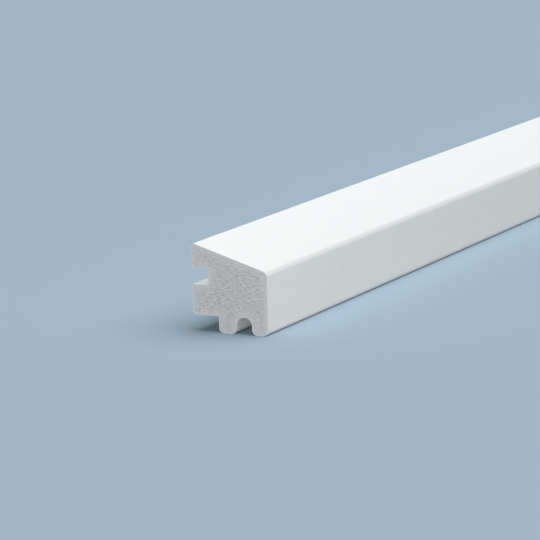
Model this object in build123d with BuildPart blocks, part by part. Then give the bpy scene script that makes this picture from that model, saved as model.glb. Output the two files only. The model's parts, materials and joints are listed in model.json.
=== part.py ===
from build123d import *
import os

# Window sill nosing: one length of foamed PVC moulding, extruded in a single piece.
# Millimetres. X runs along the length, +Y points back to the window and +Z points up.
# The origin lies on the underside, at the middle of the length and of the depth.

# Length of the stock, as sold
length = 2438.4

# Heights up the back, from the underside to the top edge
rabbet_height = 9.6
tongue_height = 17.5
slot_height = 9.1
lip_height = 14.6

# Widths along the underside, from the back edge to the front face
rabbet_depth = 16.5
foot_width = 11.3
drip_width = 9.6
leg_width = 10.2

# How far the slot reaches in from the back, and how high the drip groove's straight walls are
slot_depth = 10.3
drip_wall = 5.1

# Drop of the sloping top, from the back edge to the front face
top_fall = 14.3

# Radii of the edges
nose_round = 3.5
drip_round = 3.2
back_round = 2.8
top_back_round = 1.4
slot_mouth_round = 0.8
inside_round = 0.5

# No edge takes more than this share of the flat that it is cut from
largest_share = 0.45

# Overall sizes that follow from the sizes above
back_height = rabbet_height + tongue_height + slot_height + lip_height
front_height = back_height - top_fall
depth = rabbet_depth + foot_width + drip_width + leg_width

# Places across the section
front = -depth / 2
back = depth / 2
leg_back = front + leg_width
foot_front = leg_back + drip_width
foot_back = foot_front + foot_width
slot_floor = back - slot_depth
drip_middle = (leg_back + foot_front) / 2

# Places up the section
tongue_top = rabbet_height + tongue_height
lip_underside = tongue_top + slot_height
drip_depth = drip_wall + drip_width / 2


def eased(radius, *flats):
    """The radius, held back where one of the flats beside the edge is too short for it."""
    return min(radius, *(largest_share * flat for flat in flats))


# Each sharp corner of the section, with the radius that eases it.
# A drip wall is eased at its lower end only, so it counts twice.
corners = [
    ((front, front_height), eased(nose_round, front_height)),
    ((front, 0), eased(nose_round, leg_width)),
    ((leg_back, 0), eased(drip_round, leg_width, 2 * drip_wall)),
    ((foot_front, 0), eased(drip_round, foot_width, 2 * drip_wall)),
    ((foot_back, 0), eased(back_round, foot_width, rabbet_height)),
    ((foot_back, rabbet_height), eased(inside_round, rabbet_height)),
    ((back, rabbet_height), eased(back_round, tongue_height, rabbet_depth)),
    ((back, tongue_top), eased(slot_mouth_round, tongue_height)),
    ((slot_floor, tongue_top), eased(inside_round, slot_height)),
    ((slot_floor, lip_underside), eased(inside_round, slot_height)),
    ((back, lip_underside), eased(slot_mouth_round, lip_height)),
    ((back, back_height), eased(top_back_round, lip_height)),
]

with BuildPart() as nosing:
    with BuildSketch(Plane.YZ) as section:
        with BuildLine():
            Polyline(
                (front, 0),
                (back, 0),
                (back, back_height),
                (front, front_height),
                close=True,
            )
        make_face()
        # Rabbet under the tongue, which laps over the board below
        with Locations((back, 0)):
            Rectangle(rabbet_depth, rabbet_height, align=(Align.MAX, Align.MIN), mode=Mode.SUBTRACT)
        # Slot between the tongue and the lip
        with Locations((back, tongue_top)):
            Rectangle(slot_depth, slot_height, align=(Align.MAX, Align.MIN), mode=Mode.SUBTRACT)
        # Round-topped drip groove, open below
        with Locations((drip_middle, 0)):
            SlotOverall(2 * drip_depth, drip_width, rotation=90, mode=Mode.SUBTRACT)
        for place, radius in corners:
            fillet(section.vertices().sort_by_distance(place)[0], radius)
    extrude(amount=length / 2, both=True)

nosing.part.label = "sill_nosing"

os.makedirs("parts", exist_ok=True)
export_step(nosing.part, "parts/sill_nosing.step")
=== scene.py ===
"""Looks of a window sill nosing: one length of white foamed PVC moulding, sawn square at both ends.

Lengths are in metres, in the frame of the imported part: X along the length, +Y to the back, +Z up.
"""

import json
import math

import bmesh
import bpy
from mathutils import Matrix, Vector
from mathutils.kdtree import KDTree

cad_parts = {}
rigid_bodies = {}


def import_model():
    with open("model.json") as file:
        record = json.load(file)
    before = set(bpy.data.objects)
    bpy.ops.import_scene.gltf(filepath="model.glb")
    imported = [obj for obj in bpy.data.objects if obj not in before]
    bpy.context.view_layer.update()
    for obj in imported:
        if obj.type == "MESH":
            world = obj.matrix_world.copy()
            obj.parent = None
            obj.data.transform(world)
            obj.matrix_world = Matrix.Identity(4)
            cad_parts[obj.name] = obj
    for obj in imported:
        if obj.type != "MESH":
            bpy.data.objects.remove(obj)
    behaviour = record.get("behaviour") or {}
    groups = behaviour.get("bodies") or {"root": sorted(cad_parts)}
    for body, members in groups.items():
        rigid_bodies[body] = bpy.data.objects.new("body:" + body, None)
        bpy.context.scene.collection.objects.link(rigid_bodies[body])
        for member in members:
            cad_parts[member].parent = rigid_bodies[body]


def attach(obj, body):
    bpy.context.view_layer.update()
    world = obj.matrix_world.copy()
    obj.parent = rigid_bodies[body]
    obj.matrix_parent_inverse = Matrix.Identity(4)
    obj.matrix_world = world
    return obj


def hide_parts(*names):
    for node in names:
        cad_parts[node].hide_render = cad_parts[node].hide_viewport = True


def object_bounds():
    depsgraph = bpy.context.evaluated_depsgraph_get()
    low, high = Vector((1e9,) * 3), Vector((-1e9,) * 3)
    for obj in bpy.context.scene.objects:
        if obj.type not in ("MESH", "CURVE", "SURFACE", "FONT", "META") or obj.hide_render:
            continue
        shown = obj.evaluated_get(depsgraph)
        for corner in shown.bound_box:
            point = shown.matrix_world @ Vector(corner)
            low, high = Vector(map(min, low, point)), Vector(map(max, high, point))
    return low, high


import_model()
cad_low, cad_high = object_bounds()

mm = 0.001

# Heights up the back of the section, from the underside
rabbet_height = 9.6 * mm
tongue_height = 17.5 * mm
slot_height = 9.1 * mm
lip_height = 14.6 * mm

# Widths along the underside, from the back edge
rabbet_depth = 16.5 * mm
foot_width = 11.3 * mm
drip_width = 9.6 * mm

# How far the slot reaches in and the drip groove reaches up, and the drop of the top to the front
slot_depth = 10.3 * mm
drip_depth = 9.9 * mm
top_fall = 14.3 * mm

# Radii of the edges, and the number of flats that each is made of
nose_round = 3.5 * mm
drip_round = 3.2 * mm
back_round = 2.8 * mm
top_back_round = 1.4 * mm
slot_mouth_round = 0.8 * mm
inside_round = 0.5 * mm
round_steps = 10

# A bevel bulges past a true round where the corner is sharp, so that one starts a little further out
sharp_corner_ease = 1.035

# Places along and across the nosing
left, right = cad_low.x, cad_high.x
length = right - left
front, back = cad_low.y, cad_high.y
foot_back = back - rabbet_depth
foot_front = foot_back - foot_width
leg_back = foot_front - drip_width
slot_floor = back - slot_depth

# Places up the nosing
tongue_top = rabbet_height + tongue_height
lip_underside = tongue_top + slot_height
back_height = lip_underside + lip_height
section_middle = back_height / 2
front_height = back_height - top_fall
top_slope = math.atan2(top_fall, back - front)

# How far from each sharp corner of the section its round begins
nose_setback = nose_round * math.tan((math.pi / 2 - top_slope) / 2)
top_back_setback = sharp_corner_ease * top_back_round * math.tan((math.pi / 2 + top_slope) / 2)
setbacks = {
    (front, front_height): nose_setback,
    (front, 0): nose_round,
    (leg_back, 0): drip_round,
    (leg_back, drip_depth): drip_width / 2,
    (foot_front, drip_depth): drip_width / 2,
    (foot_front, 0): drip_round,
    (foot_back, 0): back_round,
    (foot_back, rabbet_height): inside_round,
    (back, rabbet_height): back_round,
    (back, tongue_top): slot_mouth_round,
    (slot_floor, tongue_top): inside_round,
    (slot_floor, lip_underside): inside_round,
    (back, lip_underside): slot_mouth_round,
    (back, back_height): top_back_setback,
}

# How near a point counts as a corner, as the meeting of two rounds, and as a sliver of the saw cut
corner_reach = 0.01 * mm
meeting_reach = 0.001 * mm
sliver_width = 0.0005 * mm

# Edges that turn less than this are one straight edge, and faces that turn more than the second meet crisply
straight_angle = math.radians(1)
crisp_angle = math.radians(35)

# Band at each end that is marked off on the long faces, so that the sawn edge stays out of them
end_band = 12 * mm

# The saw cut: how much it takes off each end, its kerf, and the span and the mesh of its rough face
saw_skim = 0.12 * mm
saw_kerf = 3.0 * mm
saw_span = 56 * mm
saw_step = 0.25 * mm

# Relief of the sawn face: swells and cells, which the blade drags out this many times, and grain
swell_size = 2.2 * mm
swell_depth = 0.03 * mm
cell_size = 0.6 * mm
cell_depth = 0.1 * mm
cell_drag = 6.0
grain_depth = 0.02 * mm

# Torn pits: their depth and reach, and the share of points that start one
pit_depth = 0.14 * mm
pit_reach = 0.5 * mm
pit_share = 0.006

# Seeds of the pits and grain at each end
left_seed = 3
right_seed = 8

# Tracks of the saw's teeth across the sawn face
track_depth = 0.02 * mm
track_pitch = 1.9 * mm
track_width = 0.5 * mm
track_tilt = math.radians(9)

# Where the faces lie in the map that finishes are baked through: skin below, sawn ends above
bake_map = "OFBake"
half_map = 0.5
map_margin = 0.01

# Most noise lies between these two values
noise_low, noise_high = 0.3, 0.7

# Out from the middle of a foam cell, in cells: where its wall begins and is full, and where the mask of a
# burst or filled cell fades and is gone
wall_begins, wall_full = 0.1, 0.7
mask_fades, mask_gone = 0.3, 0.6

# Each cell draws a lot from 0 to 1: past the first of these it starts to be burst or filled, and past the
# second it is
burst_lots = 0.9, 0.94
filled_lots = 0.1, 0.06

# How many cells a patch of mottling is across, and how much finer noise lies over the mottling and the lines
mottle_cells = 3
mottle_detail = 3
line_detail = 2

# Skin: its two whites, its satin, and the lines and dimples that the die leaves in it
skin_whites = (0.864, 0.880, 0.868), (0.884, 0.898, 0.882)
skin_roughness = 0.42, 0.52
die_line_width = 1.1 * mm
die_line_length = 900 * mm
dimple_size = 3.5 * mm
dimple_share = 0.6
skin_relief = 0.008 * mm

# Sawn foam: the greys of its mottling, partly its own random tone and partly painted shade of its open
# cells, and its fine cells and saw lines, which are finer than the relief
foam_greys = (0.35, 0.357, 0.368), (0.76, 0.772, 0.788)
fine_cell_size = 0.15 * mm
saw_line_width = 0.7 * mm
saw_line_length = 14 * mm
foam_relief = 0.03 * mm
foam_roughness = 0.9

# What marks the foam: the strength of each mark, and the grey that it turns the foam to
cell_wall_mark = 0.2, (0.50, 0.515, 0.535)
# The burst cells' grey is painted shade of those open hollows
burst_cell_shade = 0.7, (0.26, 0.27, 0.28)
filled_mark = 0.6, (0.92, 0.93, 0.94)
saw_line_mark = 0.14, (0.50, 0.515, 0.535)
# The pits' grey is painted shade, darker the deeper a pit goes
painted_pit_shade = 0.5, (0.34, 0.35, 0.365)
pit_shade_begins = 0.3

# The foam grows denser towards the skin, over this depth, where it is one grey and less of the marks shows
dense_depth = 6.0 * mm
dense_grey = (0.63, 0.645, 0.665)
dense_from, dense_to = 0.1, 1.0
marks_at_skin = 0.35

# The rim of skin round the foam, which fades between these shares of that depth
rim_fades, rim_gone = 0.02, 0.12
rim_strength = 0.4
rim_white = (0.80, 0.82, 0.83)
rim_roughness = 0.6

# Floor and sky: as they are seen, and as the light that bounces from them
floor_size = 80
floor_blue = (0.50, 0.65, 0.78)
floor_bounce = (0.60, 0.65, 0.69)
horizon_blue = (0.415, 0.54, 0.645)
sky_grey = (0.19, 0.19, 0.19)

# Broad key light from above the front
key_place = (0.5, -0.56, 1.82)
key_strength = 1.84
key_spread = math.radians(75)

# Softbox high behind the nosing
window_place = (0, 2.3, 2.2)
window_strength = 77
window_size = 4, 2

# Softbox off each end: how far out, to the front and up it stands
fill_out = 1.04
fill_forward = 0.46
fill_height = 0.14
fill_strength = 5.8
fill_size = 0.3, 0.2

# Camera: how far it stands from the near end's front corner, its height, and how it is turned
camera_out = 1.505037
camera_forward = 0.775906
camera_height = 0.368146
camera_heading = math.radians(-62.79)
camera_dip = math.radians(11.0267)
camera_roll = math.radians(-1.3535)

# Its focal length and the photograph's width in pixels, and the width of its film in millimetres
focal_pixels = 3090.356
photo_pixels = 540
film_width = 36


def use(piece):
    """Selects one piece alone."""
    bpy.ops.object.select_all(action="DESELECT")
    piece.select_set(True)
    bpy.context.view_layer.objects.active = piece


def edit(piece):
    """Selects one piece alone and opens it in edit mode."""
    use(piece)
    bpy.ops.object.mode_set(mode="EDIT")


def pick(piece, kind, wanted):
    """In edit mode, selects only the points or faces whose middle passes a test."""
    bpy.ops.mesh.select_mode(type=kind)
    bpy.ops.mesh.select_all(action="DESELECT")
    shape = bmesh.from_edit_mesh(piece.data)
    if kind == "VERT":
        for point in shape.verts:
            point.select_set(wanted(point.co))
    else:
        for face in shape.faces:
            face.select_set(wanted(face.calc_center_median()))
    shape.select_flush_mode()
    bmesh.update_edit_mesh(piece.data)


def section_sheet():
    """The section as one flat face at the left end, with its rounds."""
    bpy.ops.object.select_all(action="DESELECT")
    bpy.ops.mesh.primitive_plane_add(
        size=1, location=(left, 0, section_middle), rotation=(0, -math.pi / 2, 0)
    )
    sheet = bpy.context.object
    sheet.scale = (back_height, back - front, 1)
    bpy.ops.object.transform_apply(location=True, rotation=True, scale=True)
    edit(sheet)
    # The top slopes down to the front
    pick(sheet, "VERT", lambda at: at.y < 0 and at.z > section_middle)
    bpy.ops.transform.translate(value=(0, 0, -top_fall))
    # Lines along the sides of the rabbet, slot and drip groove
    for height in (rabbet_height, tongue_top, lip_underside, drip_depth):
        bpy.ops.mesh.select_all(action="SELECT")
        bpy.ops.mesh.bisect(plane_co=(left, 0, height), plane_no=(0, 0, 1))
    for place in (foot_back, foot_front, leg_back, slot_floor):
        bpy.ops.mesh.select_all(action="SELECT")
        bpy.ops.mesh.bisect(plane_co=(left, place, 0), plane_no=(0, 1, 0))

    def hollow(at):
        rabbet = at.y > foot_back and at.z < rabbet_height
        slot = at.y > slot_floor and tongue_top < at.z < lip_underside
        groove = leg_back < at.y < foot_front and at.z < drip_depth
        return rabbet or slot or groove

    pick(sheet, "FACE", hollow)
    bpy.ops.mesh.delete(type="FACE")
    bpy.ops.mesh.select_all(action="SELECT")
    bpy.ops.mesh.dissolve_limited(angle_limit=straight_angle)
    for (y, z), setback in setbacks.items():
        pick(sheet, "VERT", lambda at: math.hypot(at.y - y, at.z - z) < corner_reach)
        bpy.ops.mesh.bevel(
            offset=setback, segments=round_steps, affect="VERTICES", clamp_overlap=False
        )
    # The drip groove's two rounds meet at its top
    bpy.ops.mesh.select_all(action="SELECT")
    bpy.ops.mesh.remove_doubles(threshold=meeting_reach)
    bpy.ops.object.mode_set(mode="OBJECT")
    return sheet


def ways_round(sheet):
    """How far round the section each point of its outline lies, as a share of the whole way."""
    corners = [sheet.data.vertices[i].co.copy() for i in sheet.data.polygons[0].vertices]
    steps = [0] + [(after - corner).length for corner, after in zip(corners, corners[1:])]
    whole = sum(steps) + (corners[0] - corners[-1]).length
    way = 0
    ways = {}
    for corner, step in zip(corners, steps):
        way += step
        ways[corner.y, corner.z] = way / whole
    return ways


def map_skin(nosing, ways):
    """Lays the long faces in the map's lower half: the length across it, the way round up it."""
    layout = nosing.data.uv_layers.active
    layout.name = bake_map
    points = nosing.data.vertices
    for face in nosing.data.polygons:
        places = [points[i].co for i in face.vertices]
        shares = [ways[place.y, place.z] for place in places]
        # The last long face closes the way round, so its far side lies at the whole way
        long_face = len(places) == 4
        closing = long_face and min(shares) == 0 and max(shares) > 1 / 2
        for corner, place, share in zip(face.loop_indices, places, shares):
            up = 1 if closing and share == 0 else share
            layout.uv[corner].vector = (
                map_margin + (1 - 2 * map_margin) * (place.x - left) / length,
                map_margin + (half_map - 2 * map_margin) * up,
            )


def map_cut(block, corner):
    """Lays a sawn face in its own quarter of the map's upper half."""
    layout = block.data.uv_layers.active
    layout.name = bake_map
    for place in layout.uv:
        place.vector = [
            start + map_margin + (half_map - 2 * map_margin) * share
            for start, share in zip((corner, half_map), place.vector)
        ]


def nosing_length():
    """The section drawn out to its length, with a band marked off at each end."""
    nosing = section_sheet()
    nosing.name = nosing.data.name = "nosing"
    ways = ways_round(nosing)
    edit(nosing)
    bpy.ops.mesh.select_all(action="SELECT")
    bpy.ops.mesh.extrude_region_move(TRANSFORM_OT_translate={"value": (length, 0, 0)})
    bpy.ops.object.mode_set(mode="OBJECT")
    map_skin(nosing, ways)
    edit(nosing)
    for place in (left + end_band, right - end_band):
        bpy.ops.mesh.select_all(action="SELECT")
        bpy.ops.mesh.bisect(plane_co=(place, 0, 0), plane_no=(1, 0, 0))
    bpy.ops.mesh.select_all(action="SELECT")
    bpy.ops.mesh.normals_make_consistent(inside=False)
    bpy.ops.object.mode_set(mode="OBJECT")
    return nosing


def widen(block, times):
    """Widens a block across the depth."""
    block.scale.y = times
    bpy.ops.object.transform_apply(location=True, rotation=True, scale=True)


def roughen(block, name, kind, size, depth):
    """Moves the block's points along the length by a pattern of bumps."""
    bumps = bpy.data.textures.new(name, kind)
    bumps.noise_scale = size
    press = block.modifiers.new(name, "DISPLACE")
    press.texture = bumps
    press.texture_coords = "LOCAL"
    press.direction = "X"
    press.strength = depth
    bpy.ops.object.modifier_apply(modifier=name)
    bpy.data.textures.remove(bumps)


def saw_block(end, outward, seed):
    """A block to cut from one end, whose inner face is as rough as a saw leaves foamed PVC."""
    bpy.ops.object.select_all(action="DESELECT")
    steps = round(saw_span / saw_step)
    bpy.ops.mesh.primitive_grid_add(
        x_subdivisions=steps,
        y_subdivisions=steps,
        size=saw_span,
        location=(end - outward * saw_skim, 0, section_middle),
        rotation=(0, outward * math.pi / 2, 0),
    )
    block = bpy.context.object
    bpy.ops.object.transform_apply(location=True, rotation=True, scale=True)
    map_cut(block, 0 if outward < 0 else half_map)
    # The blade drags the swells and cells out across the depth, so they are made narrow and then widened
    widen(block, 1 / cell_drag)
    roughen(block, "swells", "CLOUDS", swell_size, swell_depth)
    roughen(block, "cells", "VORONOI", cell_size, cell_depth)
    widen(block, cell_drag)
    edit(block)
    lean = math.tan(track_tilt)
    pick(block, "VERT", lambda at: (at.z + lean * at.y) % track_pitch < track_width)
    bpy.ops.transform.translate(value=(-outward * track_depth, 0, 0))
    bpy.ops.mesh.select_all(action="DESELECT")
    bpy.ops.mesh.select_random(ratio=pit_share, seed=seed)
    bpy.ops.transform.translate(
        value=(-outward * pit_depth, 0, 0),
        use_proportional_edit=True,
        proportional_edit_falloff="SMOOTH",
        proportional_size=pit_reach,
    )
    bpy.ops.mesh.select_all(action="SELECT")
    bpy.ops.transform.vertex_random(offset=grain_depth, uniform=0, normal=1, seed=seed)
    bpy.ops.mesh.extrude_region_move(
        TRANSFORM_OT_translate={"value": (outward * saw_kerf, 0, 0)}
    )
    bpy.ops.mesh.select_all(action="SELECT")
    bpy.ops.mesh.normals_make_consistent(inside=False)
    bpy.ops.object.mode_set(mode="OBJECT")
    return block


def saw_end(nosing, end, outward, seed, foam_finish):
    """Saws one end of the nosing, and gives the cut its own finish."""
    block = saw_block(end, outward, seed)
    block.data.materials.append(foam_finish)
    cut = nosing.modifiers.new("saw", "BOOLEAN")
    cut.operation = "DIFFERENCE"
    cut.solver = "EXACT"
    cut.material_mode = "TRANSFER"
    cut.object = block
    use(nosing)
    bpy.ops.object.modifier_apply(modifier=cut.name)
    bpy.data.objects.remove(block)
    # Where the cut grazes an edge it leaves slivers
    edit(nosing)
    bpy.ops.mesh.select_all(action="SELECT")
    bpy.ops.mesh.dissolve_degenerate(threshold=sliver_width)
    bpy.ops.object.mode_set(mode="OBJECT")


def mark_depth(nosing, foam_slot):
    """Marks how deep each point of the sawn ends lies: 0 at the skin, 1 in the open foam."""
    shape = nosing.data
    sawn = set()
    skin = set()
    for face in shape.polygons:
        side = sawn if face.material_index == foam_slot else skin
        side.update(face.vertices)
    edge = sorted(sawn & skin)
    nearest = KDTree(len(edge))
    for point in edge:
        nearest.insert(shape.vertices[point].co, point)
    nearest.balance()
    depth = shape.attributes.new("depth", "FLOAT", "POINT")
    for point in sawn:
        away = nearest.find(shape.vertices[point].co)[2]
        depth.data[point].value = min(1, away / dense_depth)


def put(tree, kind, values=(), links=(), **options):
    """Adds a node to a tree, with its options, input values and links."""
    node = tree.nodes.new(kind)
    for name, value in options.items():
        setattr(node, name, value)
    for name, value in dict(values).items():
        node.inputs[name].default_value = value
    for name, source in dict(links).items():
        tree.links.new(source, node.inputs[name])
    return node


def put_effect(tree, effect, values, vector):
    """Adds a node group to a tree, as what it gives."""
    return put(tree, "ShaderNodeGroup", values, {"Vector": vector}, node_tree=effect).outputs


def work_out(tree, operation, first, second):
    """One value worked out from two, each a number or another node's output."""
    node = put(tree, "ShaderNodeMath", operation=operation)
    for socket, value in zip(node.inputs, (first, second)):
        if isinstance(value, (int, float)):
            socket.default_value = value
        else:
            tree.links.new(value, socket)
    return node.outputs["Value"]


def stretch(tree, value, low, high, to_low=0.0, to_high=1.0):
    """A value moved from one range to another and held there."""
    values = {"From Min": low, "From Max": high, "To Min": to_low, "To Max": to_high}
    return put(tree, "ShaderNodeMapRange", values, {"Value": value}).outputs["Result"]


def tint(tree, share, first, second):
    """A colour between two, each a colour or another node's output."""
    node = put(tree, "ShaderNodeMix", links={"Factor": share}, data_type="RGBA")
    sockets = [socket for socket in node.inputs if socket.type == "RGBA"]
    for socket, colour in zip(sockets, (first, second)):
        if isinstance(colour, tuple):
            socket.default_value = (*colour, 1)
        else:
            tree.links.new(colour, socket)
    return next(socket for socket in node.outputs if socket.type == "RGBA")


def noise(tree, vector, closeness, detail):
    """Smooth noise, spread to the whole range from 0 to 1."""
    clouds = put(
        tree, "ShaderNodeTexNoise", {"Detail": detail}, {"Vector": vector, "Scale": closeness}
    )
    return stretch(tree, clouds.outputs["Fac"], noise_low, noise_high)


def new_finish(name):
    """A new material, with its tree and its Principled shader."""
    finish = bpy.data.materials.new(name)
    finish.use_nodes = True
    tree = finish.node_tree
    return finish, tree, tree.nodes["Principled BSDF"]


def new_effect(name, sizes, masks):
    """A new node group, with what it is given, a vector and sizes, and the masks that it gives."""
    effect = bpy.data.node_groups.new(name, "ShaderNodeTree")
    sockets = effect.interface
    sockets.new_socket("Vector", in_out="INPUT", socket_type="NodeSocketVector")
    for size in sizes:
        sockets.new_socket(size, in_out="INPUT", socket_type="NodeSocketFloat")
    for mask in masks:
        sockets.new_socket(mask, in_out="OUTPUT", socket_type="NodeSocketFloat")
    given = effect.nodes.new("NodeGroupInput").outputs
    gives = effect.nodes.new("NodeGroupOutput").inputs
    return effect, given, gives


def foam_cells_effect():
    """Cells of one size, the few that are burst or filled, and a mottling of several cells together."""
    effect, given, gives = new_effect(
        "foam_cells", ("Cell Size",), ("Cells", "Burst", "Filled", "Mottle")
    )
    closeness = work_out(effect, "DIVIDE", 1, given["Cell Size"])
    cells = put(
        effect, "ShaderNodeTexVoronoi", {}, {"Vector": given["Vector"], "Scale": closeness}
    ).outputs
    walls = stretch(effect, cells["Distance"], wall_begins, wall_full)
    effect.links.new(walls, gives["Cells"])
    # Each cell draws its own lot, and the mask of one that is burst or filled fades towards its wall
    lot = put(effect, "ShaderNodeSeparateColor", {}, {"Color": cells["Color"]}).outputs["Red"]
    within = stretch(effect, cells["Distance"], mask_fades, mask_gone, 1, 0)
    for mask, lots in (("Burst", burst_lots), ("Filled", filled_lots)):
        drawn = stretch(effect, lot, *lots)
        effect.links.new(work_out(effect, "MULTIPLY", drawn, within), gives[mask])
    wider = work_out(effect, "DIVIDE", closeness, mottle_cells)
    effect.links.new(noise(effect, given["Vector"], wider, mottle_detail), gives["Mottle"])
    return effect


def drawn_lines_effect():
    """Fine lines along the X of the vector that is given, as a die or a blade draws them."""
    effect, given, gives = new_effect("drawn_lines", ("Line Width", "Line Length"), ("Lines",))
    slimness = work_out(effect, "DIVIDE", given["Line Width"], given["Line Length"])
    drawing = put(effect, "ShaderNodeCombineXYZ", {"Y": 1, "Z": 1}, {"X": slimness})
    drawn = put(
        effect,
        "ShaderNodeVectorMath",
        {},
        {0: given["Vector"], 1: drawing.outputs["Vector"]},
        operation="MULTIPLY",
    )
    closeness = work_out(effect, "DIVIDE", 1, given["Line Width"])
    lines = noise(effect, drawn.outputs["Vector"], closeness, line_detail)
    effect.links.new(lines, gives["Lines"])
    return effect


def smooth_skin(foam_cells, drawn_lines):
    """The satin white skin that the die leaves, with faint lines along the length and soft dimples."""
    finish, tree, shader = new_finish("smooth_skin")
    place = put(tree, "ShaderNodeTexCoord").outputs["Object"]
    line_sizes = {"Line Width": die_line_width, "Line Length": die_line_length}
    lines = put_effect(tree, drawn_lines, line_sizes, place)["Lines"]
    dimples = put_effect(tree, foam_cells, {"Cell Size": dimple_size}, place)
    tree.links.new(tint(tree, dimples["Mottle"], *skin_whites), shader.inputs["Base Color"])
    tree.links.new(stretch(tree, lines, 0, 1, *skin_roughness), shader.inputs["Roughness"])
    height = work_out(tree, "ADD", work_out(tree, "MULTIPLY", dimples["Cells"], dimple_share), lines)
    relief = put(tree, "ShaderNodeBump", {"Distance": skin_relief}, {"Height": height})
    tree.links.new(relief.outputs["Normal"], shader.inputs["Normal"])
    return finish


def pit_shade_mask(tree, place):
    """Painted shade in the torn pits: a mask that darkens the foam's colour the deeper a point lies."""
    along = put(tree, "ShaderNodeSeparateXYZ", {}, {"Vector": place}).outputs["X"]
    from_middle = work_out(tree, "ABSOLUTE", along, 0)
    surface = length / 2 - saw_skim
    shallow = surface - pit_shade_begins * pit_depth
    return stretch(tree, from_middle, surface - pit_depth, shallow, 1, 0)


def sawn_foam(foam_cells, drawn_lines):
    """The cellular core where the saw cut it: speckled, pitted and streaked, and denser near the skin. Its
    burst cells and pits carry painted shade.
    """
    finish, tree, shader = new_finish("sawn_foam")
    place = put(tree, "ShaderNodeTexCoord").outputs["Object"]
    dragged = put(tree, "ShaderNodeMapping", {"Scale": (1, 1 / cell_drag, 1)}, {"Vector": place})
    foam = put_effect(tree, foam_cells, {"Cell Size": fine_cell_size}, dragged.outputs["Vector"])
    # The saw's lines run across the depth, at the tilt of its tracks
    across = put(
        tree, "ShaderNodeMapping", {"Rotation": (track_tilt, 0, -math.pi / 2)}, {"Vector": place}
    )
    line_sizes = {"Line Width": saw_line_width, "Line Length": saw_line_length}
    saw_lines = put_effect(tree, drawn_lines, line_sizes, across.outputs["Vector"])["Lines"]
    depth = put(tree, "ShaderNodeAttribute", attribute_name="depth").outputs["Fac"]
    rim = stretch(tree, depth, rim_fades, rim_gone, 1, 0)
    colour = tint(tree, foam["Mottle"], *foam_greys)
    # The burst cells' and the pits' greys below are painted shade
    for mask, (strength, grey) in (
        (foam["Cells"], cell_wall_mark),
        (foam["Burst"], burst_cell_shade),
        (foam["Filled"], filled_mark),
        (saw_lines, saw_line_mark),
        (pit_shade_mask(tree, place), painted_pit_shade),
    ):
        colour = tint(tree, work_out(tree, "MULTIPLY", mask, strength), colour, grey)
    openness = stretch(tree, depth, dense_from, dense_to, marks_at_skin, 1)
    colour = tint(tree, openness, dense_grey, colour)
    colour = tint(tree, work_out(tree, "MULTIPLY", rim, rim_strength), colour, rim_white)
    tree.links.new(colour, shader.inputs["Base Color"])
    roughness = stretch(tree, rim, 0, 1, foam_roughness, rim_roughness)
    tree.links.new(roughness, shader.inputs["Roughness"])
    relief = put(
        tree, "ShaderNodeBump", {"Distance": foam_relief}, {"Height": foam["Cells"]}, invert=True
    )
    tree.links.new(relief.outputs["Normal"], shader.inputs["Normal"])
    return finish


def seen_directly(tree):
    """1 for what the camera sees, also in a mirror or through glass, and 0 for light that bounces."""
    path = put(tree, "ShaderNodeLightPath").outputs
    seen = work_out(tree, "MAXIMUM", path["Is Camera Ray"], path["Is Glossy Ray"])
    return work_out(tree, "MAXIMUM", seen, path["Is Transmission Ray"])


def studio_floor():
    """A plain pale floor, without gloss."""
    bpy.ops.object.select_all(action="DESELECT")
    bpy.ops.mesh.primitive_plane_add(size=floor_size)
    floor = bpy.context.object
    floor.name = "floor"
    paint, tree, shader = new_finish("floor_paint")
    colour = tint(tree, seen_directly(tree), floor_bounce, floor_blue)
    tree.links.new(colour, shader.inputs["Base Color"])
    shader.inputs["Roughness"].default_value = 1
    shader.inputs["Specular IOR Level"].default_value = 0
    floor.data.materials.append(paint)
    return floor


def studio_sky():
    """Even light from all round, and a pale blue beyond the floor."""
    world = bpy.data.worlds.new("studio")
    bpy.context.scene.world = world
    world.use_nodes = True
    tree = world.node_tree
    sky = tint(tree, seen_directly(tree), sky_grey, horizon_blue)
    tree.links.new(sky, tree.nodes["Background"].inputs["Color"])


def lamp(name, kind, place, aim, strength):
    """A lamp at a place, turned to what it lights."""
    bpy.ops.object.light_add(type=kind, location=place)
    light = bpy.context.object
    light.name = name
    light.rotation_euler = (Vector(place) - Vector(aim)).to_track_quat("Z", "Y").to_euler()
    light.data.energy = strength
    light.visible_camera = False
    return light


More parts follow.
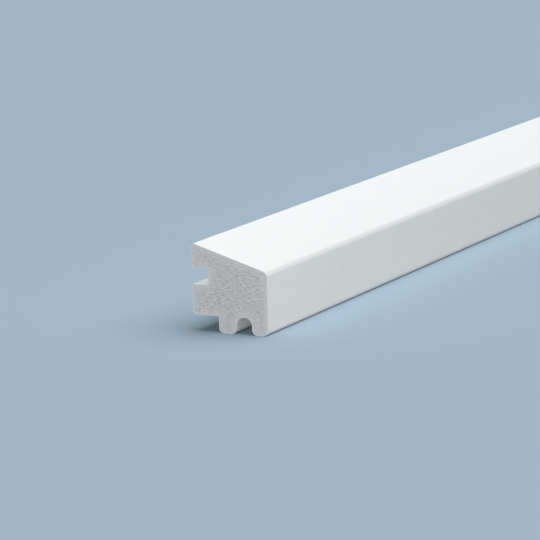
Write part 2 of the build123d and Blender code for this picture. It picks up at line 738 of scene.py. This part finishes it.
def softbox(name, place, aim, strength, size, lit_alone):
    """A soft lamp that lights the nosing alone, so that no glare lies on the floor."""
    light = lamp(name, "AREA", place, aim, strength)
    light.data.shape = "RECTANGLE"
    light.data.size, light.data.size_y = size
    light.light_linking.receiver_collection = lit_alone
    return light


def studio_lamps(nosing):
    """A broad key light, a softbox behind and a small one off each end."""
    lit_alone = bpy.data.collections.new("lit_alone")
    lit_alone.objects.link(nosing)
    middle = (0, 0, section_middle)
    key = lamp("key_sun", "SUN", key_place, middle, key_strength)
    key.data.angle = key_spread
    window = softbox("back_window", window_place, middle, window_strength, window_size, lit_alone)
    # Seen from the front, the window would mirror in the sloping top and whiten it
    window.visible_glossy = False
    for name, end, outward in (("left_fill", left, -1), ("right_fill", right, 1)):
        place = (end + outward * fill_out, -fill_forward, fill_height)
        softbox(name, place, (end, 0, section_middle), fill_strength, fill_size, lit_alone)


def studio_camera():
    """A camera off the near end, with the photograph's view."""
    place = (left - camera_out, front - camera_forward, camera_height)
    bpy.ops.object.camera_add(location=place)
    camera = bpy.context.object
    heading = Matrix.Rotation(camera_heading, 4, "Z")
    dip = Matrix.Rotation(math.pi / 2 - camera_dip, 4, "X")
    roll = Matrix.Rotation(camera_roll, 4, "Z")
    camera.rotation_euler = (heading @ dip @ roll).to_euler()
    camera.data.sensor_width = film_width
    camera.data.lens = film_width * focal_pixels / photo_pixels
    return camera


foam_cells = foam_cells_effect()
drawn_lines = drawn_lines_effect()
skin_finish = smooth_skin(foam_cells, drawn_lines)
foam_finish = sawn_foam(foam_cells, drawn_lines)

nosing = nosing_length()
nosing.data.materials.append(skin_finish)
saw_end(nosing, left, -1, left_seed, foam_finish)
saw_end(nosing, right, 1, right_seed, foam_finish)
mark_depth(nosing, nosing.data.materials.find(foam_finish.name))
use(nosing)
bpy.ops.object.shade_smooth_by_angle(angle=crisp_angle)

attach(nosing, "root")
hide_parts("sill_nosing")

studio_floor()
studio_sky()
studio_lamps(nosing)
bpy.context.scene.camera = studio_camera()
bpy.context.scene.view_settings.view_transform = "Standard"
